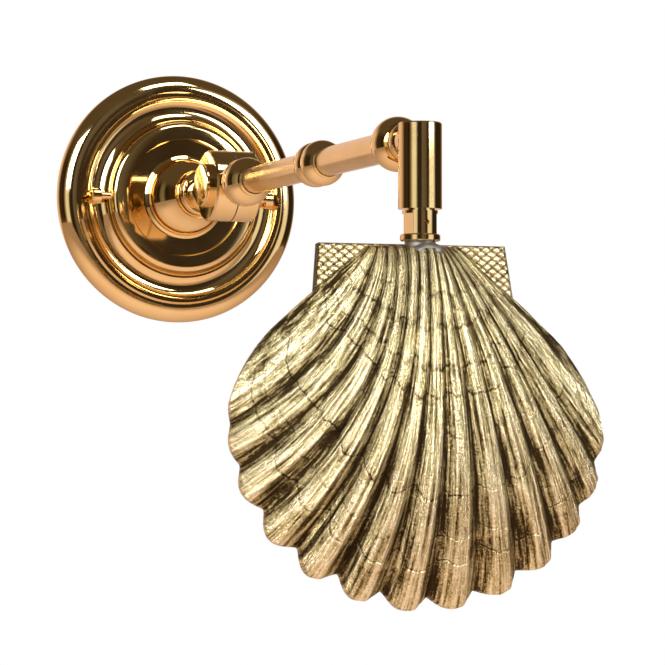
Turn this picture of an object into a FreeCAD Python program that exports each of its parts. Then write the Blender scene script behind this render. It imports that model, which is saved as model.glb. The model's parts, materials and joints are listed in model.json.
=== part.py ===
import FreeCAD, Part
import math
import os
import re

import Sketcher

# Shell wall sconce: a spun brass wall plate, a knuckle-jointed tube arm and a cast scallop shade.
# Millimetres. The origin is the centre of the wall plate's back face, on the wall. +Z is up,
# the wall is the plane y = 0 and the arm reaches out along -Y. A "reach" is a distance from the wall.

SIZES = [
    # wall plate, spun from sheet brass
    ("plate_radius", 60.0), ("plate_wall", 1.6), ("rim_edge", 2.0),  ("roll_inner", 51.5), ("roll_height", 8.0), ("fillet_height", 9.3), ("fillet_inner", 49.2),
    ("cove_radius", 6.9), ("cove_inner", 36.4), ("cove_top", 11.6), ("cup_shoulder", 33.6),
    ("cup_height", 14.7), ("floor_radius", 27.8), ("floor_height", 12.2),
    # bracket on the wall, and the side screws that hold the plate to it
    ("bracket_radius", 27.0), ("bracket_sheet", 2.0), ("lug_outer", 32.0), ("lug_sheet", 1.8),
    ("lug_width", 14.0), ("lug_height", 12.9), ("fixing_pitch", 40.0), ("fixing_hole", 2.5),
    ("cable_hole", 6.0), ("cable_drop", 16.0), ("side_screw_radius", 1.6), ("side_screw_reach", 10.6),
    ("side_head_radius", 3.5), ("side_head_length", 4.2), ("side_head_outer", 45.6),
    ("fit_gap", 0.05), ("run_gap", 0.06),
    # terminal block and earth screw in the plate
    ("block_length", 24.0), ("block_width", 15.0), ("block_height", 7.6), ("block_rise", 16.5),
    ("pole_pitch", 8.0), ("pole_bore", 1.5), ("small_screw", 1.5), ("small_head", 2.7),
    ("small_head_height", 1.9), ("earth_x", -15.0), ("earth_z", -12.0), ("tag_sheet", 0.6),
    ("tag_radius", 4.4),
    # bell, nipple and neck
    ("bell_radius", 20.0), ("bell_foot", 1.4), ("bell_waist", 8.2), ("bell_top", 39.0),
    ("nipple_radius", 5.0), ("nipple_bore", 3.5), ("nipple_start", 5.0), ("nipple_end", 58.0),
    ("washer_radius", 9.0), ("washer_sheet", 0.6), ("nut_flats", 14.0), ("nut_height", 3.0),
    ("neck_ring_radius", 10.9), ("neck_ring_length", 5.0), ("neck_radius", 8.0),
    # knuckle
    ("pivot_reach", 81.4), ("drum_radius", 16.2), ("drum_half", 10.75), ("drum_edge", 0.9),
    ("friction_sheet", 0.5), ("pivot_radius", 3.0), ("cap_radius", 10.05), ("cap_height", 3.15),
    ("dimple_radius", 1.1), ("dimple_depth", 0.8), ("cavity_radius", 11.0), ("cavity_depth", 5.5),
    ("cavity_core", 5.5), ("stub_gap", 0.5), ("wire_bore", 3.5), ("flex_radius", 2.2),
    # arm
    ("base_start", 98.4), ("base_foot_radius", 8.0), ("base_bead_reach", 106.0),
    ("base_bead_radius", 10.6), ("base_face_reach", "=base_bead_reach + 6.6"),
    ("base_face_radius", 8.9), ("base_lip_radius", 7.0),
    ("base_lip_reach", "=base_bead_reach + 8.4"), ("base_end", "=base_bead_reach + 12"), ("tube_radius", 6.0), ("tube_bore", 5.0),
    ("spigot_length", 6.0), ("mid_start", 191.6), ("mid_back_radius", 7.6),  ("mid_groove_reach", 200.6), ("mid_groove_radius", 8.2),  ("mid_face_reach", 209.0), ("mid_face_radius", 7.9), ("mid_lip_radius", 6.8),
    ("mid_end", 212.0), ("socket_depth", 5.0), ("end_back_radius", 8.6),
    ("end_face_radius", 8.2), ("end_bead_radius", 6.9),
    ("end_spigot_radius", 5.0),
    # elbow and swivel
    ("elbow_reach", 310.0), ("end_start", "=elbow_reach - 27.8"),
    ("end_face_reach", "=elbow_reach - 16"), ("end_stop", "=elbow_reach - 10.4"),
    ("housing_radius", 8.25), ("housing_top", 6.05), ("housing_bottom", -26.5),
    ("housing_edge", 0.5), ("boss_radius", 6.5), ("journal_radius", 5.6), ("journal_top", -7.0),
    ("crown", 3.0), ("stop_height", -16.0), ("stop_radius", 1.4), ("stop_width", 3.4),
    ("stop_depth", 1.4), ("stop_key_angle", 24.0), ("grub_radius", 2.0), ("stem_radius", 6.7),
    ("stem_top", -27.1), ("stem_bottom", -35.9), ("flat_half", 4.8), ("flat_top", -28.2),
    ("tommy_radius", 0.95), ("tommy_height", -31.6), ("flange_radius", 7.6), ("flange_bottom", -38.6),
    ("tail_radius", 5.0), ("tail_bottom", -54.6), ("stem_bore", 3.2), ("ring_nut_radius", 5.8),
    ("ring_nut_height", 2.2), ("solder_radius", 6.4), ("solder_height", 3.4),
    # scallop shade, cast
    ("hinge_reach", "=elbow_reach - 8"), ("hinge_height", -39.4), ("shade_lean", 7.0), ("shade_wall", 3.0),
    ("shade_half_width", 75.2), ("shade_half_height", 68.1), ("shade_centre_drop", 69.3),
    ("shade_twist", 3.8), ("shade_dome", 24.0), ("beak_height", 8.5), ("beak_drop", 3.5),
    ("rib_height", 2.2), ("notch_share", 0.0135), ("ear_top_half", 38.0), ("ear_foot_half", 40.4),
    ("ear_drop", 21.0), ("ear_sheet", 4.1), ("shade_boss", 7.6),
    # lamp carrier, holder and lamp
    ("carrier_sheet", 1.4), ("carrier_width", 12.0), ("carrier_top", -50.0), ("carrier_drop", 33.0),
    ("holder_width", 16.0), ("holder_depth", 11.0), ("holder_top_drop", 20.0), ("holder_length", 20.0),
    ("lamp_foot_width", 14.5),
    ("lamp_foot_depth", 8.5), ("lamp_foot_length", 9.0), ("lamp_radius", 7.0), ("lamp_length", 38.0),
]

# The thirteen lobe tips and the two shoulder corners, as angles about the middle of the rim, from
# straight down in degrees, and how far out each lies as a share of the rim's ellipse.
RIM_ANGLES = [-141, -98.4, -86, -71, -54, -38, -22.3, -7.1, 7.9, 23.7, 39.6, 54.9, 70, 86, 140]
RIM_SHARES = [0.905, 1.0] + [1.0] * 11 + [1.0, 0.87]

# Depth of the notch before, between and after the lobes, in millimetres.
NOTCHES = [0.0, 0.9, 2.6, 4.6, 5.4, 6.2, 5.5, 4.8, 4.3, 4.2, 3.2, 1.9, 1.2, 0.0]

doc = FreeCAD.newDocument("shell_wall_sconce")
sheet = doc.addObject("Spreadsheet::Sheet", "Sizes")
for row, (alias, value) in enumerate(SIZES, start=1):
    sheet.set("A%d" % row, alias)
    sheet.set("B%d" % row, str(value))
    sheet.setAlias("B%d" % row, alias)
doc.recompute()

ALIASES = {alias for alias, _ in SIZES}
parts = []


def linked(expression):
    """The expression with every size's name pointed at its cell in the sheet."""
    return re.sub(r"[a-z_]+[a-z]", lambda m: "Sizes." + m.group(0) if m.group(0) in ALIASES
                  else m.group(0), expression)


def size(expression):
    """The value that an expression of sizes has now."""
    value = sheet.evalExpression(linked(expression))
    return float(getattr(value, "Value", value))


def bind(thing, **sizes):
    """Bind properties of a document object to expressions of sizes."""
    for name, expression in sizes.items():
        thing.setExpression(name, linked(expression))
    return thing


def place(thing, x="0", y="0", z="0"):
    """Bind a piece's place to expressions of sizes."""
    for axis, expression in zip("xyz", (x, y, z)):
        if expression != "0":
            thing.setExpression("Placement.Base." + axis, linked(expression))
    return thing


def keep(thing, name):
    """List a finished piece under the name of its file."""
    thing.Label = name
    parts.append(thing)
    return thing


def new_body(name):
    body = doc.addObject("PartDesign::Body", name + "_body")
    return body


def plane_of(body, role):
    return next(f for f in body.Origin.OriginFeatures if f.Role == role)


def bowed(start, end, bow):
    """Corners of the flats that stand for a round edge from start to end.

    bow is the edge's height over its chord, as a share of the chord: plus for a round that swells
    to the right of the way, minus for a hollow to its left.
    """
    half = 2 * math.atan(2 * abs(bow))
    flats = max(2, round(math.degrees(2 * half) / 34))
    corners = []
    for i in range(1, flats):
        turn = half * (2 * i / flats - 1)
        share = 0.5 + math.sin(turn) / (2 * math.sin(half))
        rise = (math.cos(turn) - math.cos(half)) / (2 * math.sin(half)) * (1 if bow > 0 else -1)
        rule = "(%s) * %.5f + (%s) * %.5f %s ((%s) - (%s)) * %.5f"
        across = rule % (start[0], 1 - share, end[0], share, "+", end[1], start[1], rise)
        along = rule % (start[1], 1 - share, end[1], share, "-", end[0], start[0], rise)
        corners.append((across, along))
    return corners


def outline_sketch(body, name, role, outline, flip=False):
    """A closed sketch through the outline's corners, each held by two bound distances.

    A corner is (across, along) or (across, along, bow), where bow rounds the edge that leads to it.
    flip points the second measure away from the wall.
    """
    sketch = body.newObject("Sketcher::SketchObject", name)
    sketch.AttachmentSupport = [(plane_of(body, role), "")]
    sketch.MapMode = "FlatFace"
    corners = []
    for before, corner in zip([outline[-1]] + outline[:-1], outline):
        if len(corner) > 2:
            corners += bowed(before, corner, corner[2])
        corners.append(corner[:2])
    if flip:
        corners = [(across, "-(%s)" % along) for across, along in corners]
    points = [FreeCAD.Vector(size(across), size(along), 0) for across, along in corners]
    for start, end in zip(points[-1:] + points[:-1], points):
        sketch.addGeometry(Part.LineSegment(start, end), False)
    for i, (corner, point) in enumerate(zip(corners, points)):
        sketch.addConstraint(Sketcher.Constraint("Coincident", i, 2, (i + 1) % len(points), 1))
        for kind, axis, value, expression in (("DistanceX", -2, point.x, corner[0]),
                                              ("DistanceY", -1, point.y, corner[1])):
            if abs(value) < 1e-9:
                sketch.addConstraint(Sketcher.Constraint("PointOnObject", i, 2, axis))
                continue
            held = sketch.addConstraint(Sketcher.Constraint(kind, -1, 1, i, 2, value))
            sketch.setExpression("Constraints[%d]" % held, linked(expression))
    return sketch


def turned(name, outline, along="reach"):
    """A lathe-turned piece. Its outline is (radius, reach), (radius, height) or (x, radius)."""
    body = new_body(name)
    if along == "reach":
        sketch = outline_sketch(body, name + "_outline", "XY_Plane", outline, flip=True)
        axis = "V_Axis"
    elif along == "height":
        sketch = outline_sketch(body, name + "_outline", "XZ_Plane", outline)
        axis = "V_Axis"
    else:
        sketch = outline_sketch(body, name + "_outline", "XY_Plane", outline)
        axis = "H_Axis"
    turn = body.newObject("PartDesign::Revolution", name + "_turn")
    turn.Profile = sketch
    turn.ReferenceAxis = (sketch, [axis])
    turn.Angle = 360
    body.Tip = turn
    return body


def cylinder(name, radius, length, axis="z", **where):
    """A round bar along an axis, from its start point."""
    bar = doc.addObject("Part::Cylinder", name)
    bind(bar, Radius=radius, Height=length)
    turns = {"z": FreeCAD.Rotation(), "x": FreeCAD.Rotation(FreeCAD.Vector(0, 1, 0), 90),
             "-y": FreeCAD.Rotation(FreeCAD.Vector(1, 0, 0), 90)}
    bar.Placement = FreeCAD.Placement(FreeCAD.Vector(), turns[axis])
    return place(bar, **where)


def block(name, length, width, height, **where):
    """A rectangular block, from its lowest corner."""
    box = doc.addObject("Part::Box", name)
    bind(box, Length=length, Width=width, Height=height)
    return place(box, **where)


def fused(name, pieces):
    union = doc.addObject("Part::MultiFuse", name)
    union.Shapes = pieces
    return union


def cut(name, base, *tools):
    """The base with each tool taken from it."""
    tool = tools[0]
    if len(tools) > 1:
        tool = doc.addObject("Part::Compound", name + "_tools")
        tool.Links = list(tools)
    result = doc.addObject("Part::Cut", name)
    result.Base = base
    result.Tool = tool
    return result


# ---------------------------------------------------------------- on the wall

def make_backplate():
    """Spun plate: rolled rim, fillet, cove and a raised cup with a flat floor."""
    wall = "plate_wall"
    body = turned("backplate_spun", [
        ("plate_radius", "0"),
        ("plate_radius", "rim_edge"),
        ("roll_inner", "roll_height", 0.185),
        ("roll_inner - 0.9", "fillet_height"),
        ("fillet_inner", "fillet_height"),
        ("cove_inner", "cove_top", -0.354),
        ("cup_shoulder", "cup_height", 0.187),
        ("floor_radius + 0.6", "cup_height"),
        ("floor_radius", "cup_height - 0.6"),
        ("floor_radius", "floor_height"),
        ("nipple_radius + 0.3", "floor_height"),
        ("nipple_radius + 0.3", "floor_height - " + wall),
        ("floor_radius + " + wall, "floor_height - " + wall),
        ("floor_radius + " + wall, "cup_height - " + wall),
        ("cup_shoulder", "cup_height - " + wall),
        ("cove_inner - " + wall, "cove_top - 0.3", -0.09),
        ("fillet_inner + 0.9", "fillet_height - " + wall, 0.336),
        ("roll_inner + 0.3", "roll_height - " + wall),
        ("plate_radius - " + wall, "rim_edge - 0.2", -0.134),
        ("plate_radius - " + wall, "0"),
    ])
    holes = [cylinder("plate_hole_right", "side_screw_radius + 0.15", "cove_radius", "x",
                      x="lug_outer", y="-side_screw_reach"),
             cylinder("plate_hole_left", "side_screw_radius + 0.15", "cove_radius", "x",
                      x="-lug_outer - cove_radius", y="-side_screw_reach")]
    return keep(cut("backplate_cut", body, *holes), "backplate")


def make_bracket():
    """Steel wall bracket: a round plate with two upturned lugs that take the side screws."""
    plate = cylinder("bracket_disc", "bracket_radius", "bracket_sheet", "-y")
    strap = block("bracket_strap", "2 * lug_outer", "bracket_sheet", "lug_width",
                  x="-lug_outer", y="-bracket_sheet", z="-lug_width / 2")
    lugs = [block("bracket_lug_right", "lug_sheet", "lug_height", "lug_width",
                  x="lug_outer - lug_sheet", y="-lug_height", z="-lug_width / 2"),
            block("bracket_lug_left", "lug_sheet", "lug_height", "lug_width",
                  x="-lug_outer", y="-lug_height", z="-lug_width / 2")]
    blank = fused("bracket_blank", [plate, strap] + lugs)
    holes = [cylinder("fixing_hole_right", "fixing_hole", "bracket_sheet", "-y", x="fixing_pitch / 2"),
             cylinder("fixing_hole_left", "fixing_hole", "bracket_sheet", "-y", x="-fixing_pitch / 2"),
             cylinder("cable_hole_cut", "cable_hole", "bracket_sheet", "-y", z="-cable_drop"),
             cylinder("lug_holes", "side_screw_radius + fit_gap", "2 * lug_outer", "x",
                      x="-lug_outer", y="-side_screw_reach"),
             cylinder("earth_hole", "small_screw + fit_gap", "bracket_sheet", "-y",
                      x="earth_x", z="earth_z"),
             cylinder("block_screw_hole", "small_screw + fit_gap", "bracket_sheet", "-y",
                      z="block_rise")]
    return keep(cut("bracket", blank, *holes), "wall_bracket")


def make_side_screws():
    """The two round-headed screws that pass through the plate's cup into the bracket's lugs."""
    screws = []
    for side, sign in (("left", "-"), ("right", "")):
        body = turned("side_screw_" + side, [
            (sign + "(lug_outer - lug_sheet - 0.6)", "0"),
            (sign + "side_head_outer", "0"),
            (sign + "side_head_outer", "side_head_radius - 0.6"),
            (sign + "(side_head_outer - 0.6)", "side_head_radius"),
            (sign + "(side_head_outer - side_head_length)", "side_head_radius"),
            (sign + "(side_head_outer - side_head_length)", "side_screw_radius"),
            (sign + "(lug_outer - lug_sheet - 0.6)", "side_screw_radius"),
        ], along="x")
        place(body, y="-side_screw_reach")
        screws.append(body)
    pair = doc.addObject("Part::Compound", "side_screw_pair")
    pair.Links = screws
    return keep(pair, "side_screws")


def make_wiring():
    """Terminal block with its screw, and the earth screw with its ring tag, on the bracket."""
    seat = "-(bracket_sheet + block_height)"
    body = block("block_body", "block_length", "block_height", "block_width",
                 x="-block_length / 2", y=seat, z="block_rise - block_width / 2")
    cuts = []
    for pole in (-1, 0, 1):
        across = "%d * pole_pitch" % pole
        tag = "abc"[pole + 1]
        cuts.append(cylinder("wire_way_" + tag, "pole_bore", "block_width + 2", x=across,
                             y="-(bracket_sheet + block_height / 2 + 1)",
                             z="block_rise - block_width / 2 - 1"))
        for row, sign in (("top", "+"), ("foot", "-")):
            if pole == 0 and row == "foot":
                continue
            cuts.append(cylinder("clamp_way_" + tag + row, "pole_bore", "block_height / 2", "-y",
                                 x=across, y="-(bracket_sheet + block_height / 2)",
                                 z="block_rise %s block_width / 4" % sign))
    cuts.append(cylinder("block_screw_way", "small_screw + fit_gap", "block_height", "-y",
                         y="-bracket_sheet", z="block_rise"))
    cuts.append(cylinder("block_screw_seat", "small_head - 0.9", "block_height", "-y",
                         y="-(bracket_sheet + block_height / 2 + 0.4)", z="block_rise"))
    keep(cut("block_cut", body, *cuts), "terminal_block")
    head = cylinder("block_screw_head", "small_head - 1", "small_head_height", "-y",
                    y="-(bracket_sheet + block_height / 2 + 0.4)", z="block_rise")
    shank = cylinder("block_screw_shank", "small_screw", "bracket_sheet + block_height / 2", "-y",
                     y="-0.4", z="block_rise")
    keep(fused("block_screw", [head, shank]), "terminal_screw")
    head = cylinder("earth_head", "small_head", "small_head_height", "-y", x="earth_x",
                    y="-(bracket_sheet + tag_sheet)", z="earth_z")
    shank = cylinder("earth_shank", "small_screw", "bracket_sheet + tag_sheet", "-y", x="earth_x",
                     y="-0.4", z="earth_z")
    keep(fused("earth_pair", [head, shank]), "earth_screw")
    ring = cylinder("tag_ring", "tag_radius", "tag_sheet", "-y", x="earth_x",
                    y="-bracket_sheet", z="earth_z")
    tail = block("tag_tail", "9", "tag_sheet", "2.4", x="earth_x",
                 y="-(bracket_sheet + tag_sheet)", z="earth_z - 1.2")
    hole = cylinder("tag_hole", "small_screw + fit_gap", "tag_sheet", "-y", x="earth_x",
                    y="-bracket_sheet", z="earth_z")
    keep(cut("tag_cut", fused("tag_blank", [ring, tail]), hole), "earth_tag")


def make_bell_and_neck():
    """Turned bell boss on the plate's floor, and the beaded ring that ends it."""
    foot = "floor_height"
    keep(turned("bell", [
        ("nipple_radius + fit_gap", foot),
        ("bell_radius", foot),
        ("bell_radius", foot + " + bell_foot"),
        ("bell_radius - 1.2", foot + " + bell_foot + 0.6"),
        ("bell_radius - 6", foot + " + 11", 0.1),
        ("bell_waist", "bell_top - 1.2", -0.11),
        ("bell_waist", "bell_top"),
        ("nipple_radius + fit_gap", "bell_top"),
    ]), "bell_boss")
    half = "neck_ring_length / 2"
    keep(turned("neck_ring", [
        ("nipple_radius + fit_gap", "bell_top"),
        ("neck_ring_radius - 1", "bell_top"),
        ("neck_ring_radius - 0.8", "bell_top + " + half, 0.3),
        ("neck_ring_radius - 1", "bell_top + neck_ring_length", 0.3),
        ("nipple_radius + fit_gap", "bell_top + neck_ring_length"),
    ]), "neck_ring")


def make_nipple():
    """Hollow threaded nipple with its washer and locknut: it clamps bell, ring and knuckle."""
    keep(turned("nipple", [
        ("nipple_bore", "nipple_start"),
        ("nipple_radius", "nipple_start"),
        ("nipple_radius", "nipple_end"),
        ("nipple_bore", "nipple_end"),
    ]), "threaded_nipple")
    under = "floor_height - plate_wall"
    keep(turned("nipple_washer_ring", [
        ("nipple_radius + 0.2", under + " - washer_sheet"),
        ("washer_radius", under + " - washer_sheet"),
        ("washer_radius", under),
        ("nipple_radius + 0.2", under),
    ]), "nipple_washer")
    hexagon = doc.addObject("Part::Prism", "locknut_hexagon")
    hexagon.Polygon = 6
    bind(hexagon, Circumradius="nut_flats / sqrt(3)", Height="nut_height")
    hexagon.Placement = FreeCAD.Placement(FreeCAD.Vector(),
                                          FreeCAD.Rotation(FreeCAD.Vector(1, 0, 0), 90))
    place(hexagon, y="-(%s - washer_sheet - nut_height)" % under)
    bore = cylinder("locknut_bore", "nipple_radius + fit_gap", "nut_height", "-y",
                    y="-(%s - washer_sheet - nut_height)" % under)
    keep(cut("locknut", hexagon, bore), "nipple_locknut")


# ---------------------------------------------------------------- knuckle

def drum_half(name, hand, inner):
    """Half of the knuckle's drum on one hand, with a bevelled outer edge and an annular wire cavity."""
    body = turned(name, [(hand + "(" + across + ")", radius) for across, radius in (
        (inner, "pivot_radius + run_gap"),
        ("drum_half", "pivot_radius + run_gap"),
        ("drum_half", "drum_radius - drum_edge"),
        ("drum_half - drum_edge", "drum_radius"),
        (inner, "drum_radius"),
        (inner, "cavity_radius"),
        (inner + " + cavity_depth", "cavity_radius"),
        (inner + " + cavity_depth", "cavity_core"),
        (inner, "cavity_core"),
    )], along="x")
    return place(body, y="-pivot_reach")


def make_wall_half():
    """Left half of the knuckle, with the round neck that screws on the nipple."""
    start = "bell_top + neck_ring_length"
    stub = cylinder("wall_stub", "neck_radius", "pivot_reach - (%s)" % start, "-y",
                    y="-(%s)" % start)
    swing = cylinder("wall_swing_room", "drum_radius + stub_gap", "drum_half", "x",
                     x="-friction_sheet / 2", y="-pivot_reach")
    inside = cylinder("wall_inside", "drum_radius - 1", "drum_half", "x", x="-drum_half",
                      y="-pivot_reach")
    neck = cut("wall_neck", stub, swing, inside)
    blank = fused("wall_half_blank", [drum_half("wall_drum", "-", "friction_sheet / 2"), neck])
    thread = cylinder("wall_thread", "nipple_radius + fit_gap", "nipple_end - (%s) + 0.5" % start,
                      "-y", y="-(%s)" % start)
    wire = cylinder("wall_wire_way", "wire_bore", "pivot_reach - cavity_core - 1 - (%s)" % start,
                    "-y", y="-(%s)" % start)
    keep(cut("wall_half", blank, thread, wire), "knuckle_wall_half")


def make_arm_half():
    """Right half of the knuckle, with the neck and the spigot that carry the arm."""
    disc = drum_half("arm_drum", "", "friction_sheet / 2 + run_gap")
    stub = cylinder("arm_stub", "neck_radius - 0.1", "base_start - pivot_reach", "-y",
                    y="-pivot_reach")
    swing = cylinder("arm_swing_room", "drum_radius + stub_gap",
                     "drum_half + friction_sheet / 2 + run_gap", "x", x="-drum_half", y="-pivot_reach")
    inside = cylinder("arm_inside", "drum_radius - 1", "drum_half", "x", y="-pivot_reach")
    neck = cut("arm_neck", stub, swing, inside)
    spigot = cylinder("arm_spigot", "tube_bore - fit_gap", "base_face_reach - base_start"
                      " + spigot_length", "-y", y="-base_start")
    blank = fused("arm_half_blank", [disc, neck, spigot])
    wire = cylinder("arm_wire_way", "wire_bore", "base_end - pivot_reach + 10", "-y",
                    y="-(pivot_reach + cavity_core + 1)")
    keep(cut("arm_half", blank, wire), "knuckle_arm_half")


def make_friction_ring():
    """Thin ring between the two halves; it gives the knuckle its drag."""
    ring = keep(turned("friction_disc", [
        ("-friction_sheet / 2", "cavity_radius + 0.4"),
        ("friction_sheet / 2", "cavity_radius + 0.4"),
        ("friction_sheet / 2", "drum_radius - 0.2"),
        ("-friction_sheet / 2", "drum_radius - 0.2"),
    ], along="x"), "friction_ring")
    place(ring, y="-pivot_reach")


def make_pivot():
    """Pivot bolt with a flat round head on the left, and the round nut on the right."""
    keep(turned("pivot", [
        ("-(drum_half + cap_height)", "dimple_radius"),
        ("-(drum_half + cap_height)", "cap_radius - 0.8"),
        ("-(drum_half + cap_height - 0.8)", "cap_radius", -0.2),
        ("-drum_half", "cap_radius"),
        ("-drum_half", "pivot_radius"),
        ("drum_half + cap_height - 1", "pivot_radius"),
        ("drum_half + cap_height - 1", "0"),
        ("-(drum_half + cap_height - dimple_depth)", "0"),
        ("-(drum_half + cap_height - dimple_depth)", "dimple_radius"),
    ], along="x"), "pivot_bolt")
    place(parts[-1], y="-pivot_reach")
    keep(turned("pivot_cap", [
        ("drum_half + run_gap", "pivot_radius + fit_gap"),
        ("drum_half + run_gap", "cap_radius"),
        ("drum_half + cap_height - 0.8", "cap_radius"),
        ("drum_half + cap_height", "cap_radius - 0.8", -0.2),
        ("drum_half + cap_height", "0"),
        ("drum_half + cap_height - 0.95", "0"),
        ("drum_half + cap_height - 0.95", "pivot_radius + fit_gap"),
    ], along="x"), "pivot_nut")
    place(parts[-1], y="-pivot_reach")


# ---------------------------------------------------------------- arm

def make_base_collar():
    """Ball-like collar at the foot of the arm, with a lip round the tube."""
    keep(turned("base_collar", [
        ("tube_bore", "base_start"),
        ("base_foot_radius", "base_start"),
        ("base_bead_radius", "base_bead_reach", 0.16),
        ("base_face_radius", "base_face_reach", 0.13),
        ("base_lip_radius", "base_lip_reach"),
        ("base_lip_radius", "base_end - 0.6"),
        ("base_lip_radius - 0.6", "base_end"),
        ("tube_radius + fit_gap", "base_end"),
        ("tube_radius + fit_gap", "base_face_reach"),
        ("tube_bore", "base_face_reach"),
    ]), "base_collar")


def tube(name, start, end):
    return keep(turned(name + "_wall", [
        ("tube_bore", start),
        ("tube_radius", start),
        ("tube_radius", end),
        ("tube_bore", end),
    ]), name)


def make_tubes():
    """Rear and front arm tubes, each bottoming in the collars at its ends."""
    tube("rear_tube", "base_face_reach", "mid_start + socket_depth")
    tube("front_tube", "mid_end - socket_depth", "end_start + socket_depth")


def make_mid_collar():
    """Double-beaded collar that joins the two tubes."""
    keep(turned("mid_beads", [
        ("tube_radius + fit_gap", "mid_start"),
        ("mid_back_radius", "mid_start"),
        ("mid_groove_radius", "mid_groove_reach", 0.168),
        ("mid_face_radius", "mid_face_reach", 0.172),
        ("mid_lip_radius", "mid_face_reach + 1.2"),
        ("mid_lip_radius", "mid_end - 0.5"),
        ("mid_lip_radius - 0.5", "mid_end"),
        ("tube_radius + fit_gap", "mid_end"),
        ("tube_radius + fit_gap", "mid_end - socket_depth"),
        ("tube_bore", "mid_end - socket_depth"),
        ("tube_bore", "mid_start + socket_depth"),
        ("tube_radius + fit_gap", "mid_start + socket_depth"),
    ]), "mid_collar")


def make_end_collar():
    """Fat half-round collar and a small bead, with the spigot that enters the elbow's side."""
    keep(turned("end_beads", [
        ("tube_radius + fit_gap", "end_start"),
        ("end_back_radius", "end_start"),
        ("end_face_radius", "end_face_reach", 0.192),
        ("end_bead_radius", "end_face_reach"),
        ("end_bead_radius", "end_stop", 0.11),
        ("end_spigot_radius", "end_stop"),
        ("end_spigot_radius", "end_stop + 4"),
        ("wire_bore", "end_stop + 4"),
        ("wire_bore", "end_start + socket_depth"),
        ("tube_radius + fit_gap", "end_start + socket_depth"),
    ]), "end_collar")


def make_arm_flex():
    """Round flex that lies along the bottom of the arm tubes."""
    flex = cylinder("flex_run", "flex_radius", "end_stop - base_start - 5", "-y",
                    y="-(base_start + 4)", z="-(wire_bore - flex_radius)")
    keep(flex, "arm_flex")


def make_elbow():
    """Upright housing with a side boss for the arm and a blind bore for the swivel stem."""
    barrel = turned("elbow_barrel", [
        ("0", "housing_top"),
        ("housing_radius - housing_edge", "housing_top"),
        ("housing_radius", "housing_top - housing_edge"),
        ("housing_radius", "housing_bottom"),
        ("journal_radius + run_gap", "housing_bottom"),
        ("journal_radius + run_gap", "housing_top - crown"),
        ("0", "housing_top - crown"),
    ], along="height")
    place(barrel, y="-elbow_reach")
    boss = cylinder("elbow_boss", "boss_radius", "elbow_reach - end_stop", "-y", y="-end_stop")
    inner = cylinder("elbow_boss_room", "journal_radius + run_gap + 0.5",
                     "housing_top - crown - housing_bottom", y="-elbow_reach", z="housing_bottom")
    blank = fused("elbow_blank", [barrel, cut("elbow_side", boss, inner)])
    socket = cylinder("elbow_socket", "end_spigot_radius + fit_gap", "4.1", "-y", y="-end_stop")
    wire = cylinder("elbow_wire_way", "wire_bore", "elbow_reach - end_stop", "-y", y="-end_stop")
    grub = cylinder("elbow_grub_way", "grub_radius + fit_gap", "housing_radius + 1", "x",
                    y="-elbow_reach", z="stop_height")
    keep(cut("elbow", blank, socket, wire, grub), "elbow_housing")
    keep(turned("grub", [
        ("journal_radius - stop_depth + 0.2", "0"),
        ("housing_radius - 0.3", "0"),
        ("housing_radius - 0.3", "grub_radius"),
        ("journal_radius + 0.4", "grub_radius"),
        ("journal_radius + 0.4", "stop_radius"),
        ("journal_radius - stop_depth + 0.2", "stop_radius"),
    ], along="x"), "stop_screw")
    place(parts[-1], y="-elbow_reach", z="stop_height")


# ---------------------------------------------------------------- shade

def make_stem():
    """Swivel stem: journal with its stop groove, body with spanner flats, flange and tail."""
    body = turned("stem", [
        ("stem_bore", "journal_top"),
        ("journal_radius", "journal_top"),
        ("journal_radius", "stem_top"),
        ("stem_radius", "stem_top"),
        ("stem_radius", "stem_bottom"),
        ("flange_radius - 0.5", "stem_bottom"),
        ("flange_radius", "stem_bottom - 0.5"),
        ("flange_radius", "flange_bottom + 0.5"),
        ("flange_radius - 0.5", "flange_bottom"),
        ("tail_radius", "flange_bottom"),
        ("tail_radius", "tail_bottom"),
        ("stem_bore", "tail_bottom"),
    ], along="height")
    place(body, y="-elbow_reach")
    ring = doc.addObject("Part::Cylinder", "groove_disc")
    bind(ring, Radius="journal_radius + 1", Height="stop_width", Angle="360 - stop_key_angle")
    ring.Placement = FreeCAD.Placement(FreeCAD.Vector(), FreeCAD.Rotation())
    place(ring, y="-elbow_reach", z="stop_height - stop_width / 2")
    ring.setExpression("Placement.Rotation.Angle", linked("180 + stop_key_angle / 2"))
    core = cylinder("groove_core", "journal_radius - stop_depth", "stop_width", y="-elbow_reach",
                    z="stop_height - stop_width / 2")
    groove = cut("groove", ring, core)
    high = "flat_top - stem_bottom"
    flats = [block("flat_cut_left", "stem_radius", "4 * stem_radius", high,
                   x="-flat_half - stem_radius", y="-elbow_reach - 2 * stem_radius", z="stem_bottom"),
             block("flat_cut_right", "stem_radius", "4 * stem_radius", high, x="flat_half",
                   y="-elbow_reach - 2 * stem_radius", z="stem_bottom")]
    tommy = cylinder("tommy_hole", "tommy_radius", "stem_radius", "-y",
                     y="-(elbow_reach + stem_bore)", z="tommy_height")
    return keep(cut("stem_cut", body, groove, *flats, tommy), "swivel_stem")


def vector(u, drop, proud):
    """A point of the shade's own frame: u to the right, drop down its plane, proud towards the room."""
    return FreeCAD.Vector(u, -proud, -drop)


def blend(table, place_in_table):
    """Value between the entries of an evenly spaced table."""
    index = min(max(int(math.floor(place_in_table)), 0), len(table) - 2)
    share = place_in_table - index
    return table[index] * (1 - share) + table[index + 1] * share


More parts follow.
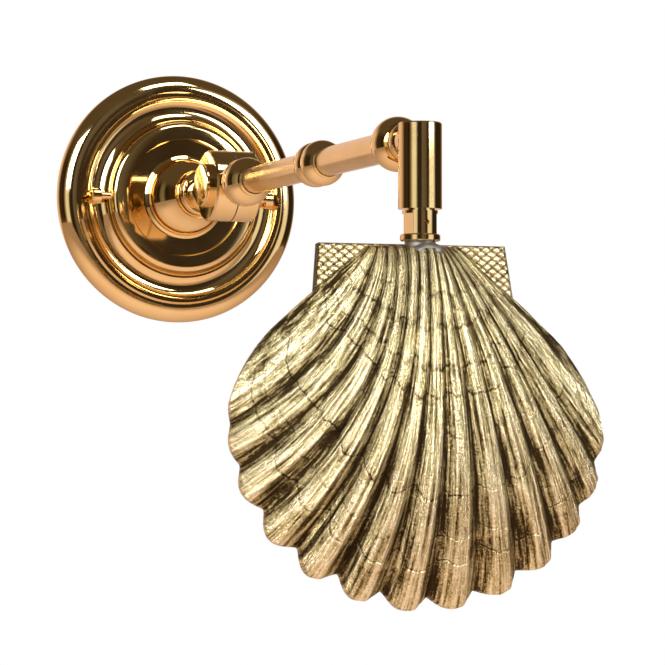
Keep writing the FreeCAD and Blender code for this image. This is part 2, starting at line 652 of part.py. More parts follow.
class Scallop:
    """The shade's form: ribs that fan out from a beak to a lobed, nearly round rim.

    Rib numbers run from -1 at the left shoulder through 0 to 12 on the lobes to 13 at the right one.
    """

    def __init__(self):
        for alias in ALIASES:
            if alias.startswith(("shade_", "beak_", "rib_", "notch_")):
                setattr(self, alias, size(alias))
        self.middle_rib = (len(RIM_ANGLES) - 3) / 2

    def lobe(self, rib):
        """1 on a rib's crest, 0 in the valleys."""
        return (0.5 + 0.5 * math.cos(2 * math.pi * rib)) ** 0.6

    def rim(self, rib):
        """Rim point for a rib number: an ellipse turned by the twist, drawn in between lobes."""
        angle = math.radians(blend(RIM_ANGLES, rib + 1))
        notch = blend(NOTCHES, rib + 0.5) if -0.5 < rib < self.middle_rib * 2 + 0.5 else 0.0
        pull = blend(RIM_SHARES, rib + 1) - self.notch_share * notch * (1 - self.lobe(rib))
        twist = math.radians(self.shade_twist)
        u = self.shade_half_width * math.sin(angle - twist)
        drop = self.shade_half_height * math.cos(angle - twist)
        turned_u = u * math.cos(twist) + drop * math.sin(twist)
        turned_drop = drop * math.cos(twist) - u * math.sin(twist)
        return turned_u * pull, self.shade_centre_drop + turned_drop * pull

    def middle(self, rib, share):
        """Point of the smooth dome along a rib, from the beak (0) to the rim (1)."""
        u, drop = self.rim(rib)
        drop -= self.beak_drop
        reach = math.hypot(u, drop)
        spread = math.atan2(u, drop)
        bend = min(abs(spread) * (1 + 0.47 * spread * spread), 0.871 + 0.45 * abs(spread))
        control_u = 0.52 * reach * math.sin(bend) * (1 if u > 0 else -1)
        control_drop = 0.52 * reach * math.cos(bend)
        first = 2 * share * (1 - share)
        second = share * share
        side = abs(rib - self.middle_rib) / (self.middle_rib + 1)
        crown = (share ** 0.7) * ((1 - share) ** 0.9) / 0.334
        swell = self.shade_dome * crown * (1 - 1.06 * side ** 2.4)
        beak = self.beak_height * (1 - share) ** 8
        return vector(first * control_u + second * u,
                      self.beak_drop + first * control_drop + second * drop, swell + beak)

    def normal(self, rib, share):
        """Outward direction of the smooth dome."""
        low, high = max(share - 0.01, 0.01), min(share + 0.01, 1.0)
        along = self.middle(rib, high) - self.middle(rib, low)
        across = self.middle(rib + 0.01, share) - self.middle(rib - 0.01, share)
        out = across.cross(along)
        return out.normalize() if out.y < 0 else (out * -1).normalize()

    def skin(self, rib, share, height):
        """The dome with ribs of a height, which fade out towards the beak and on the shoulders."""
        fade = min(1.0, share * 1.5) * max(0.0, min(1.0, 1 + self.middle_rib - abs(rib - self.middle_rib)))
        lift = height * fade * (self.lobe(rib) - 0.5)
        return self.middle(rib, share) + self.normal(rib, share) * lift

    def outside(self, rib, share):
        """Outer skin."""
        return self.skin(rib, share, self.rib_height)

    def inside(self, rib, share):
        """Inner skin, with flatter ribs, one wall behind the outer one."""
        return self.skin(rib, share, 0.4 * self.rib_height) + vector(0, 0, -self.shade_wall)


def closed_fan(form, ribs, shares):
    """Closed solid of small flat panels between the shade's outer and inner skins."""
    rows, places = len(ribs), len(shares)
    points = [form.outside(rib, share) for rib in ribs for share in shares]
    points += [form.inside(rib, share) for rib in ribs for share in shares]
    behind = rows * places
    quads = []
    for i in range(rows - 1):
        for j in range(places - 1):
            a = i * places + j
            outer = (a, a + places, a + places + 1, a + 1)
            quads.append(outer)
            quads.append(tuple(k + behind for k in reversed(outer)))
        for a, turn in ((i * places, -1), (i * places + places - 1, 1)):
            quads.append((a, a + places, a + places + behind, a + behind)[::turn])
    for j in range(places - 1):
        for a, turn in ((j, 1), ((rows - 1) * places + j, -1)):
            quads.append((a, a + 1, a + 1 + behind, a + behind)[::turn])
    facets = [(a, b, c) for a, b, c, d in quads] + [(a, c, d) for a, b, c, d in quads]
    shell = Part.Shape()
    shell.makeShapeFromMesh((points, facets), 0.001)
    solid = Part.makeSolid(shell)
    if solid.Volume < 0:
        solid.reverse()
    return solid


def make_shade():
    """Cast scallop shade: ribbed fan, flat ears along the hinge and the hole for the stem's tail."""
    form = Scallop()
    per_lobe = 4
    ribs = [-0.5 + i / per_lobe for i in range((len(RIM_ANGLES) - 2) * per_lobe + 1)]
    ribs = [ribs[0] - 0.12] + ribs + [ribs[-1] + 0.12]
    fan = closed_fan(form, ribs, [0.05, 0.12, 0.22, 0.36, 0.52, 0.68, 0.84, 1.0])
    top, foot, drop = size("ear_top_half"), size("ear_foot_half"), size("ear_drop")
    back = -size("shade_wall") + 0.37
    half = [(top, 0), (foot, drop), (foot * 0.55, drop * 0.95), (foot * 0.22, drop * 0.44)]
    corners = [vector(u, low, back) for u, low in half]
    corners += [vector(-u, low, back) for u, low in reversed(half)]
    face = Part.Face(Part.makePolygon(corners + corners[:1]))
    ears = face.extrude(vector(0, 0, size("ear_sheet")))
    lean = FreeCAD.Placement(FreeCAD.Vector(0, -size("hinge_reach"), size("hinge_height")),
                             FreeCAD.Rotation(FreeCAD.Vector(1, 0, 0), -size("shade_lean")))
    fan.Placement = lean
    ears.Placement = lean
    boss = Part.makeCylinder(size("shade_boss"), size("flange_bottom - solder_height - carrier_top"),
                             FreeCAD.Vector(0, -size("elbow_reach"), size("carrier_top")))
    cast = fan.fuse(ears.fuse(boss))
    hole = Part.makeCylinder(size("tail_radius + fit_gap"), size("flange_bottom - tail_bottom"),
                             FreeCAD.Vector(0, -size("elbow_reach"), size("tail_bottom")))
    seat = Part.makeCylinder(size("ring_nut_radius") + 0.6, size("carrier_top - tail_bottom") + 1,
                             FreeCAD.Vector(0, -size("elbow_reach"), size("tail_bottom") - 1))
    cast = cast.cut(hole).cut(seat)
    solid = max(cast.Solids, key=lambda piece: piece.Volume)
    shade = doc.addObject("Part::Feature", "shade_cast")
    shade.Shape = solid
    return keep(shade, "shell_shade")


def make_solder():
    """Solder fillet round the tail, between the flange and the beak."""
    body = turned("solder", [
        ("tail_radius + fit_gap", "flange_bottom"),
        ("tail_radius + 0.8", "flange_bottom"),
        ("solder_radius", "flange_bottom - solder_height", 0.06),
        ("tail_radius + fit_gap", "flange_bottom - solder_height"),
    ], along="height")
    place(body, y="-elbow_reach")
    return keep(body, "solder_fillet")


def leaned(thing, u="0", drop="0", proud="0"):
    """Place a piece in the shade's leaning frame."""
    lean = FreeCAD.Rotation(FreeCAD.Vector(1, 0, 0), -size("shade_lean"))
    thing.Placement = FreeCAD.Placement(FreeCAD.Vector(), lean)
    turn = "cos(shade_lean)", "sin(shade_lean)"
    thing.setExpression("Placement.Rotation.Angle", linked("360 - shade_lean"))
    place(thing, x=u,
          y="-hinge_reach - (%s) * %s - (%s) * %s" % (proud, turn[0], drop, turn[1]),
          z="hinge_height - (%s) * %s + (%s) * %s" % (drop, turn[0], proud, turn[1]))
    return thing


def leaned_block(name, width, depth, length, drop, proud):
    """A block centred across the shade, its top at a drop and its back at a proudness."""
    box = doc.addObject("Part::Box", name)
    bind(box, Length=width, Width=depth, Height=length)
    return leaned(box, u="-(%s) / 2" % width, drop="(%s) + (%s)" % (drop, length),
                  proud="(%s) + (%s)" % (proud, depth))


def make_carrier():
    """Lamp carrier: an angled brass strip clamped on the stem's tail by a ring nut."""
    shelf = block("carrier_shelf", "carrier_width", "elbow_reach - hinge_reach + 0.8", "carrier_sheet",
                  x="-carrier_width / 2", y="-elbow_reach", z="carrier_top - carrier_sheet")
    disc = cylinder("carrier_disc", "tail_radius + 0.65", "carrier_sheet", y="-elbow_reach",
                    z="carrier_top - carrier_sheet")
    leg = leaned_block("carrier_leg", "carrier_width", "carrier_sheet",
                       "carrier_drop - (hinge_height - carrier_top) - 0.2",
                       "hinge_height - carrier_top + 0.2", "-1")
    hole = cylinder("carrier_hole", "tail_radius + fit_gap", "carrier_sheet", y="-elbow_reach",
                    z="carrier_top - carrier_sheet")
    keep(cut("carrier_cut", fused("carrier_blank", [shelf, disc, leg]), hole), "lamp_carrier")
    ring = cylinder("ring_nut_disc", "ring_nut_radius", "ring_nut_height", y="-elbow_reach",
                    z="carrier_top - carrier_sheet - ring_nut_height")
    bore = cylinder("ring_nut_bore", "tail_radius + fit_gap", "ring_nut_height", y="-elbow_reach",
                    z="carrier_top - carrier_sheet - ring_nut_height")
    slot = block("ring_nut_slot", "2 * ring_nut_radius + 2", "1.6", "ring_nut_height / 2",
                 x="-ring_nut_radius - 1", y="-elbow_reach - 0.8",
                 z="carrier_top - carrier_sheet - ring_nut_height")
    keep(cut("ring_nut_cut", ring, bore, slot), "carrier_nut")


def make_lamp():
    """Ceramic two-pin holder on the carrier, its screws, and the glass capsule lamp with its foot."""
    front = "carrier_sheet - 1"
    keep(leaned_block("holder_body", "holder_width", "holder_depth", "holder_length",
                      "holder_top_drop", front), "lamp_holder")
    below = "holder_top_drop + holder_length"
    middle = "%s + holder_depth / 2" % front
    keep(leaned_block("foot_body", "lamp_foot_width", "lamp_foot_depth", "lamp_foot_length",
                      below, "%s - lamp_foot_depth / 2" % middle), "lamp_foot")
    glass = doc.addObject("Part::Cylinder", "glass_barrel")
    bind(glass, Radius="lamp_radius", Height="lamp_length - lamp_radius")
    leaned(glass, drop="%s + lamp_foot_length + lamp_length - lamp_radius" % below, proud=middle)
    tip = doc.addObject("Part::Sphere", "glass_tip")
    bind(tip, Radius="lamp_radius")
    leaned(tip, drop="%s + lamp_foot_length + lamp_length - lamp_radius" % below, proud=middle)
    keep(fused("glass_envelope", [glass, tip]), "lamp_glass")


def build():
    make_backplate()
    make_bracket()
    make_side_screws()
    make_wiring()
    make_bell_and_neck()
    make_nipple()
    make_wall_half()
    make_arm_half()
    make_friction_ring()
    make_pivot()
    make_base_collar()
    make_tubes()
    make_mid_collar()
    make_end_collar()
    make_arm_flex()
    make_elbow()
    make_stem()
    make_shade()
    make_solder()
    make_carrier()
    make_lamp()
    doc.recompute()
    for thing in doc.Objects:
        if {"Invalid", "Error"} & set(thing.State):
            raise RuntimeError("%s did not compute: %s" % (thing.Name, thing.State))
    os.makedirs("parts", exist_ok=True)
    for piece in parts:
        shape = piece.Shape
        if shape.isNull() or not shape.isValid() or not shape.Solids:
            raise RuntimeError("%s is not a valid solid" % piece.Label)
        shape.exportStep("parts/%s.step" % piece.Label)
        print("%-20s solids %d volume %.1f" % (piece.Label, len(shape.Solids), shape.Volume))


build()
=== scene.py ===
"""Shell wall sconce: polished brass plate, knuckle and tube arm, and a cast scallop shade."""
import json
import math

import bmesh
import bpy
import numpy as np
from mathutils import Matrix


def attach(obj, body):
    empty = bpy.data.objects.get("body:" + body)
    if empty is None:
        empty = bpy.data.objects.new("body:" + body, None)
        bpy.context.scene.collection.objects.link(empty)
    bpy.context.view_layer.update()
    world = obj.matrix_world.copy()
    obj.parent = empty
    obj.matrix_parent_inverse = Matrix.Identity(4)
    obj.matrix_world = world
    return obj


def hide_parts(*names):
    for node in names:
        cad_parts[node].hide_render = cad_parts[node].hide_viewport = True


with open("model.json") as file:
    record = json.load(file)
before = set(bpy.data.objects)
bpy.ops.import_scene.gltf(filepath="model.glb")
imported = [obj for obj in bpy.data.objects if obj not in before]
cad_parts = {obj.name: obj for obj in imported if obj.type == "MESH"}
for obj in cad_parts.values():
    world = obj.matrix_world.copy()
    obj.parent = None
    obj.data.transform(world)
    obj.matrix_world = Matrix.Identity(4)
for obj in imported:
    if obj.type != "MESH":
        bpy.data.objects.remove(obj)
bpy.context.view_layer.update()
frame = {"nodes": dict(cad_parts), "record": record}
MM = 0.001
# Where the knuckle's and the elbow's axes cross the arm, in millimetres. The room is towards -Y.
KNUCKLE = (0, -81.4, 0)
ELBOW = (0, -310.0, 0)


# ------------------------------------------------------------------ materials

def linear(code):
    """sRGB hex to linear RGBA."""
    values = [int(code[i:i + 2], 16) / 255 for i in (1, 3, 5)]
    return [v / 12.92 if v <= 0.04045 else ((v + 0.055) / 1.055) ** 2.4 for v in values] + [1.0]


def feed(tree, made, **links):
    """Links and values for a node's inputs, by name (spaces as _, or a number as n0, n1)."""
    for name, value in links.items():
        key = int(name[1:]) if name[0] == "n" and name[1:].isdigit() else name.replace("_", " ")
        socket = made.inputs[key]
        if isinstance(value, bpy.types.NodeSocket):
            tree.links.new(value, socket)
        else:
            socket.default_value = value


def node(tree, kind, settings=None, **links):
    """Adds a node with its settings, and feeds its inputs."""
    made = tree.nodes.new(kind)
    for name, value in (settings or {}).items():
        setattr(made, name, value)
    feed(tree, made, **links)
    return made


def cells(millimetres):
    """Scale of a noise on object coordinates whose cells are this wide."""
    return 1 / (millimetres * MM)


def ramp(tree, factor, stops):
    """Colour ramp through (place, colour) stops; a colour is a hex value or a brightness."""
    made = node(tree, "ShaderNodeValToRGB", n0=factor)
    bar = made.color_ramp
    while len(bar.elements) < len(stops):
        bar.elements.new(0.5)
    for element, (place, colour) in zip(bar.elements, stops):
        element.position = place
        element.color = linear(colour) if isinstance(colour, str) else [colour] * 3 + [1.0]
    return made.outputs["Color"]


def material(name):
    """An empty material with its shader: (material, node tree, shader)."""
    made = bpy.data.materials.new(name)
    made.use_nodes = True
    tree = made.node_tree
    return made, tree, tree.nodes["Principled BSDF"]


def simple(name, colour, metallic, roughness, grain_mm, bump, mottle=0.12):
    """A finish of one colour with grain of a real size. In patches of 8 mm the colour falls by the
    mottle or rises by 0.6 of it, and the roughness goes from 0.8 to 1.25 of its value."""
    made, tree, shader = material(name)
    where = node(tree, "ShaderNodeTexCoord").outputs["Object"]
    grain = node(tree, "ShaderNodeTexNoise", Vector=where, Scale=cells(grain_mm), Detail=3.0)
    patch = node(tree, "ShaderNodeTexNoise", Vector=where, Scale=cells(8), Detail=4.0).outputs["Fac"]
    base = linear(colour)
    low = [v * (1 - mottle) for v in base[:3]] + [1.0]
    high = [min(1.0, v * (1 + mottle * 0.6)) for v in base[:3]] + [1.0]
    tone = node(tree, "ShaderNodeMix", {"data_type": "RGBA"}, n0=patch, n6=low, n7=high)
    rough = node(tree, "ShaderNodeMapRange", Value=patch, n3=roughness * 0.8, n4=roughness * 1.25)
    dents = node(tree, "ShaderNodeBump", Strength=bump, Distance=0.1 * MM, Height=grain.outputs["Fac"])
    feed(tree, shader, Base_Color=tone.outputs[2], Metallic=metallic, Roughness=rough.outputs[0],
         Normal=dents.outputs[0])
    return made


def polished_brass(name, finest, coarsest):
    """Lacquered brass, polished or drawn: warm, with faint swirls 1.1 mm wide, and darker breaths of
    18 mm in which the roughness goes from finest to coarsest."""
    made, tree, shader = material(name)
    where = node(tree, "ShaderNodeTexCoord").outputs["Object"]
    breath = node(tree, "ShaderNodeTexNoise", Vector=where, Scale=cells(18), Detail=5.0).outputs["Fac"]
    swirl = node(tree, "ShaderNodeTexNoise", Vector=where, Scale=cells(1.1), Detail=2.0).outputs["Fac"]
    tone = ramp(tree, breath, [(0.3, "#E6C78C"), (0.55, "#ECCF98"), (0.75, "#EFD5A2")])
    rough = node(tree, "ShaderNodeMapRange", Value=breath, n1=0.3, n2=0.8, n3=finest, n4=coarsest)
    dents = node(tree, "ShaderNodeBump", Strength=0.04, Distance=0.1 * MM, Height=swirl)
    feed(tree, shader, Base_Color=tone, Metallic=1.0, Roughness=rough.outputs[0],
         Normal=dents.outputs[0], Coat_Weight=0.25, Coat_Roughness=0.04)
    return made


# Noise cells across a rib and along its whole length, of the fine striae and of what bends the cracks.
STRIAE = (10.0, 5.0, 1.0)
WANDER = (1.1, 2.0, 1.0)
# How far the cracks are bent and where each lies, as shares of the rib's length, with its strength.
CRACK_BEND = 0.09
CRACKS = ((0.185, 0.7), (0.275, 0.8), (0.385, 1.0), (0.465, 0.7), (0.58, 0.4), (0.735, 1.0), (0.86, 0.5),
          (0.93, 0.7))


def cast_brass():
    """Cast brass with painted light: pale on the crests and raised striae as painted highlight, brown-black
    in the striae's grooves as painted shade, growth cracks across the ribs, and a sandy skin of 0.75 mm
    grains and 6 mm blotches. The fan attribute holds (rib number, share of the rib's length), and crest how
    far a place stands out, less near the top edge; a high crest is painted highlight, a low one painted
    shade. Tone and roughness follow the weighted sum of crest, striae, blotches, sand and cracks."""
    made, tree, shader = material("antique_cast_brass")
    where = node(tree, "ShaderNodeTexCoord").outputs["Object"]
    sand = node(tree, "ShaderNodeTexNoise", Vector=where, Scale=cells(0.75), Detail=3.0).outputs["Fac"]
    blotch = node(tree, "ShaderNodeTexNoise", Vector=where, Scale=cells(6), Detail=6.0,
                  Roughness=0.65).outputs["Fac"]
    fan = node(tree, "ShaderNodeAttribute", {"attribute_name": "fan"}).outputs["Vector"]
    crest = node(tree, "ShaderNodeAttribute", {"attribute_name": "crest"}).outputs["Fac"]
    fine = node(tree, "ShaderNodeVectorMath", {"operation": "MULTIPLY"}, n0=fan, n1=STRIAE)
    striae = node(tree, "ShaderNodeTexNoise", {"noise_dimensions": "2D"}, Vector=fine.outputs[0],
                  Scale=1.0, Detail=5.0, Roughness=0.66).outputs["Fac"]
    slow = node(tree, "ShaderNodeVectorMath", {"operation": "MULTIPLY"}, n0=fan, n1=WANDER)
    wander = node(tree, "ShaderNodeTexNoise", {"noise_dimensions": "2D"}, Vector=slow.outputs[0],
                  Scale=1.0, Detail=5.0, Roughness=0.6).outputs["Fac"]
    share = node(tree, "ShaderNodeSeparateXYZ", n0=fan).outputs["Y"]
    place = node(tree, "ShaderNodeMath", {"operation": "MULTIPLY_ADD"}, n0=wander, n1=CRACK_BEND, n2=share)
    stops = [(0.0, 0.0)]
    for middle, deep in CRACKS:
        stops += [(middle - 0.004, 0.0), (middle, deep), (middle + 0.003, 0.0)]
    crack = ramp(tree, place.outputs[0], stops)
    total = crest
    # A noise swings about 0.5, and the mark of a crack starts from 0.
    for source, weight, middle in ((striae, 2.7, 0.5), (blotch, 0.4, 0.5), (sand, 0.9, 0.5),
                                   (crack, -0.6, 0.0)):
        part = node(tree, "ShaderNodeMath", {"operation": "MULTIPLY_ADD"}, n0=source, n1=weight,
                    n2=-middle * weight)
        total = node(tree, "ShaderNodeMath", {"operation": "ADD"}, n0=total, n1=part.outputs[0]).outputs[0]
    # Where the sum follows crest and striae, its pale end is painted highlight and its dark end painted
    # shade.
    tone = ramp(tree, total, [(0.0, "#3A2D1B"), (0.16, "#695838"), (0.34, "#A8986A"), (0.56, "#D8CB9A"),
                              (0.85, "#FBF2CF")])
    rough = node(tree, "ShaderNodeMapRange", Value=total, n1=0.1, n2=0.9, n3=0.4, n4=0.13)
    height = striae
    for source, weight in ((sand, 0.3), (blotch, 0.5), (crack, -0.5)):
        height = node(tree, "ShaderNodeMath", {"operation": "MULTIPLY_ADD"}, n0=source, n1=weight,
                      n2=height).outputs[0]
    dents = node(tree, "ShaderNodeBump", Strength=0.75, Distance=1.4 * MM, Height=height)
    feed(tree, shader, Base_Color=tone, Metallic=1.0, Roughness=rough.outputs[0],
         Normal=dents.outputs[0])
    return made


def clear_glass():
    """Clear drawn glass of the lamp, with draw marks 11 mm wide, a little milky so that its edge shows."""
    made, tree, shader = material("clear_lamp_glass")
    where = node(tree, "ShaderNodeTexCoord").outputs["Object"]
    draw = node(tree, "ShaderNodeTexNoise", Vector=where, Scale=cells(11), Detail=2.0)
    dents = node(tree, "ShaderNodeBump", Strength=0.05, Distance=0.2 * MM, Height=draw.outputs["Fac"])
    feed(tree, shader, Base_Color=linear("#F4F6F7"), Roughness=0.05, Normal=dents.outputs[0], IOR=1.47,
         Transmission_Weight=0.85)
    return made


# Polished on a wheel and lacquered: the room shows in it almost as in a mirror.
BRASS = polished_brass("polished_lacquered_brass", 0.045, 0.1)
# Drawn tube, brushed and lacquered: its lights run soft along it.
DRAWN = polished_brass("drawn_lacquered_brass_tube", 0.17, 0.26)
CAST = cast_brass()
# Turned and left so: fine marks of the tool dull its shine.
TURNED = simple("turned_screw_brass", "#C9A45C", 1.0, 0.22, 0.3, 0.15)
# Zinc on pressed steel: grey, with a satin sheen.
STEEL = simple("zinc_plated_steel", "#B7B8B6", 1.0, 0.3, 0.4, 0.2)
# Solder left as it froze: grey, dull and a little wrinkled.
SOLDER = simple("soft_solder", "#918F89", 1.0, 0.5, 0.6, 0.5, 0.3)
# Moulded nylon: white, with a soft sheen.
NYLON = simple("white_nylon", "#E9E6DD", 0.0, 0.45, 0.3, 0.1)
# Pressed fibre: grey and matt.
FIBRE = simple("grey_fibre", "#565049", 0.0, 0.8, 0.2, 0.3)
# Extruded plastic: brown and smooth.
FLEX = simple("brown_flex_jacket", "#6B5A3C", 0.0, 0.5, 0.3, 0.1)
# Glazed porcelain: white and glossy.
CERAMIC = simple("glazed_ceramic", "#F0EDE4", 0.0, 0.18, 0.8, 0.1, 0.04)
# Pressed glass: pale grey and glossy.
FOOT = simple("pressed_glass_foot", "#D9DCDC", 0.0, 0.12, 0.8, 0.1, 0.04)
GLASS = clear_glass()

FINISH = {"polished_brass": BRASS, "cast_brass": CAST, "screw_brass": TURNED, "zinc_steel": STEEL,
          "solder": SOLDER, "white_nylon": NYLON, "grey_fibre": FIBRE, "flex_jacket": FLEX,
          "ceramic": CERAMIC, "frosted_foot": FOOT, "lamp_glass": GLASS}
for part in frame["record"]["subparts"]:
    thing = frame["nodes"][part["node"]]
    thing.data.materials.clear()
    thing.data.materials.append(FINISH[part["material_slot"]])


# ------------------------------------------------------------------ meshes

def weld(shape):
    """Closes seams and poles: points within 0.002 mm become one, and faces without area go."""
    bmesh.ops.remove_doubles(shape, verts=shape.verts, dist=0.002 * MM)
    bmesh.ops.dissolve_degenerate(shape, edges=shape.edges, dist=0.0001 * MM)


def cap(shape):
    """Closes the open ends with one face each."""
    bmesh.ops.holes_fill(shape, edges=[e for e in shape.edges if e.is_boundary], sides=0)


def reshape(mesh, *steps):
    """Takes a mesh through the given steps, and turns its faces outwards."""
    shape = bmesh.new()
    shape.from_mesh(mesh)
    for step in steps:
        step(shape)
    bmesh.ops.recalc_face_normals(shape, faces=shape.faces)
    shape.to_mesh(mesh)
    shape.free()


def piece(name, points, faces, body, finish, nodes=(), steps=(), sharp=28.0):
    """A smooth-shaded object from points in millimetres and faces of four, taken through the steps. It
    keeps its edges of more than sharp degrees, rides the body and replaces the nodes."""
    mesh = bpy.data.meshes.new(name)
    mesh.from_pydata((points.reshape(-1, 3) * MM).tolist(), [], faces.reshape(-1, 4).tolist())
    reshape(mesh, *steps)
    mesh.polygons.foreach_set("use_smooth", np.ones(len(mesh.polygons), bool))
    mesh.set_sharp_from_angle(angle=math.radians(sharp))
    mesh.materials.append(finish)
    thing = bpy.data.objects.new(name, mesh)
    bpy.context.scene.collection.objects.link(thing)
    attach(thing, body)
    if nodes:
        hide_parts(*nodes)
    return thing


def surface(name, points, body, finish, nodes=(), around=True, along=True):
    """A piece from a grid of points (rows x columns x 3, in millimetres), closed where asked."""
    rows, columns = points.shape[:2]
    number = np.arange(rows * columns).reshape(rows, columns)
    up = np.roll(number, -1, 0) if along else number[1:]
    here = number if along else number[:-1]
    faces = np.stack([here, np.roll(here, -1, 1), np.roll(up, -1, 1), up], -1)
    if not around:
        faces = faces[:, :-1]
    return piece(name, points, faces, body, finish, nodes, [weld])


def mark(thing, name, kind, values):
    """Gives each vertex a value, or a vector, under a name that the materials read."""
    made = thing.data.attributes.new(name, kind, "POINT")
    made.data.foreach_set("value" if kind == "FLOAT" else "vector", values.ravel())


# ------------------------------------------------------------------ turned pieces

def rounded(start, end, bow, step=6.0):
    """Points, about step degrees apart, of the circular arc from start to end whose height is bow times
    its chord."""
    half = 2 * math.atan(2 * abs(bow))
    count = max(2, int(math.degrees(2 * half) / step))
    turn = half * (2 * np.arange(1, count + 1) / count - 1)
    share = 0.5 + np.sin(turn) / (2 * math.sin(half))
    rise = (np.cos(turn) - math.cos(half)) / (2 * math.sin(half)) * (1 if bow > 0 else -1)
    chord = np.subtract(end, start)
    return start + np.outer(share, chord) + np.outer(rise, [chord[1], -chord[0]])


def smooth(outline):
    """A closed outline with its bowed edges filled in: rows of (radius, along)."""
    rows = []
    for before, corner in zip([outline[-1]] + outline[:-1], outline):
        start, end = np.array(before[:2], float), np.array(corner[:2], float)
        if len(corner) > 2:
            rows.extend(rounded(start, end, corner[2]))
        else:
            rows.append(end)
    return np.array(rows)


def turned(name, outline, body, nodes=(), way="reach", centre=(0, 0, 0), steps=144, finish=BRASS):
    """Outline of (radius, along) swung round its axis: (r cos t, r sin t) across, and along the axis,
    which points out from the wall, up or to +X. A third number in the outline bows the edge before it."""
    rows = smooth(outline)
    t = np.linspace(0, 2 * np.pi, steps, endpoint=False)
    radius, place = rows[:, :1], rows[:, 1:] + 0 * t
    across, over = radius * np.cos(t), radius * np.sin(t)
    grids = {"reach": (across, -place, over), "height": (across, over, place), "x": (place, across, over)}
    points = np.stack(grids[way], -1) + np.array(centre)
    return surface(name, points, body, finish, nodes)


def drum(inner, way):
    """Outline of one half of the knuckle, towards +X (way 1) or -X (way -1): a bored disc from its
    inner face out to 10.75 mm, its outer edge broken by 0.9 mm."""
    outline = [(3.06, inner), (3.06, 10.75), (15.3, 10.75), (16.2, 9.85), (16.2, inner)]
    return [(radius, way * x) for radius, x in outline]


turned("wall_plate", [(60, 0), (60, 2), (51.5, 8, 0.185), (50.6, 9.3), (49.2, 9.3), (36.4, 11.6, -0.354),
                      (33.6, 14.7, 0.187), (28.4, 14.7), (27.8, 14.1), (27.8, 12.2), (5.3, 12.2),
                      (5.3, 10.6), (29.4, 10.6), (29.4, 13.1), (33.6, 13.1), (34.8, 11.3, -0.09),
                      (50.1, 7.7, 0.336), (51.8, 6.4), (58.4, 1.8, -0.134), (58.4, 0)],
       "wall_base", ["backplate"], steps=240)
turned("bell", [(5.05, 12.2), (20, 12.2), (20, 13.6), (18.8, 14.2), (14, 23.2, 0.1), (8.2, 37.8, -0.11),
                (8.2, 39), (5.05, 39)], "wall_base", ["bell_boss"])
turned("neck_bead", [(5.05, 39), (9.9, 39), (10.1, 41.5, 0.3), (9.9, 44, 0.3), (5.05, 44)], "wall_base",
       ["neck_ring"])
turned("drum_left", drum(0.25, -1), "wall_base", ["knuckle_wall_half"], "x", KNUCKLE)
turned("neck_left", [(5.0, 44), (8, 44), (8, 70), (5.0, 70)], "wall_base")
turned("drum_right", drum(0.31, 1), "arm", ["knuckle_arm_half"], "x", KNUCKLE)
turned("neck_right", [(3.5, 95.2), (7.9, 95.2), (7.9, 98.4), (3.5, 98.4)], "arm")
turned("pivot_head", [(0, -13.1), (1.1, -13.1), (1.1, -13.9), (9.25, -13.9), (10.05, -13.1, -0.2),
                      (10.05, -10.75), (3, -10.75), (3, 12.9), (0, 12.9)], "wall_base", ["pivot_bolt"],
       "x", KNUCKLE)
turned("pivot_cap", [(3.05, 10.81), (10.05, 10.81), (10.05, 13.1), (9.25, 13.9, -0.2), (0, 13.9),
                     (0, 12.95), (3.05, 12.95)], "wall_base", ["pivot_nut"], "x", KNUCKLE)
turned("foot_collar", [(5, 98.4), (8, 98.4), (10.6, 106, 0.16), (8.9, 112.6, 0.13), (7, 114.4),
                       (7, 117.4), (6.4, 118), (6.05, 118), (6.05, 112.6), (5, 112.6)], "arm",
       ["base_collar"])
turned("tube_rear", [(5, 112.6), (6, 112.6), (6, 196.6), (5, 196.6)], "arm", ["rear_tube"], finish=DRAWN)
turned("middle_collar", [(6.05, 191.6), (7.6, 191.6), (8.2, 200.6, 0.168), (7.9, 209, 0.172),
                         (6.8, 210.2), (6.8, 211.5), (6.3, 212), (6.05, 212), (6.05, 207), (5, 207),
                         (5, 196.6), (6.05, 196.6)], "arm", ["mid_collar"])
turned("tube_front", [(5, 207), (6, 207), (6, 287.2), (5, 287.2)], "arm", ["front_tube"], finish=DRAWN)
turned("last_collar", [(6.05, 282.2), (8.6, 282.2), (8.2, 294, 0.192), (6.9, 294), (6.9, 299.6, 0.11),
                       (5, 299.6), (5, 303.6), (3.5, 303.6), (3.5, 287.2), (6.05, 287.2)], "arm",
       ["end_collar"])
turned("elbow_barrel", [(0, 6.05), (7.75, 6.05), (8.25, 5.55), (8.25, -26.5), (5.66, -26.5), (5.66, 3.05),
                        (0, 3.05)], "arm", ["elbow_housing"], "height", ELBOW)
turned("elbow_side", [(3.5, 299.6), (6.5, 299.6), (6.5, 303.9), (3.5, 303.9)], "arm")


# ------------------------------------------------------------------ scallop shade

# The shade's foot leans out from the wall by LEAN, about the middle of its top edge.
LEAN = math.radians(7.0)
HINGE = np.array([0, -302.0, -39.4])
# Ribs are numbered 0 to 12 from the left, and MIDDLE is straight down.
RIBS = 13
MIDDLE = 6
# The rim is an ellipse with these half widths, turned by RIM_TWIST, its centre this far down the shade.
RIM_ACROSS, RIM_DOWN, RIM_CENTRE = 75.2, 68.1, 69.3
RIM_TWIST = math.radians(3.8)
# The ellipse's angle at each lobe, in degrees from straight down, and the share of the ellipse that the
# lobe reaches. The first and last are the ends of the rim, at the ears.
RIM_ANGLES = [-141, -98.4, -86, -71, -54, -38, -22.3, -7.1, 7.9, 23.7, 39.6, 54.9, 70, 86, 140]
RIM_SHARES = [0.905] + [1.0] * RIBS + [0.87]
# Depth of the notch before each rib and after the last, in units of about a millimetre, which is this
# share of the rim's radius.
NOTCHES = [0.0, 0.9, 2.6, 4.6, 5.4, 6.2, 5.5, 4.8, 4.3, 4.2, 3.2, 1.9, 1.2, 0.0]
NOTCH_UNIT = 0.0135
# Thickness of the casting, and the ribs' height on its outer and inner skins.
WALL = 3.0
RIB_OUTSIDE, RIB_INSIDE = 2.2, 0.88


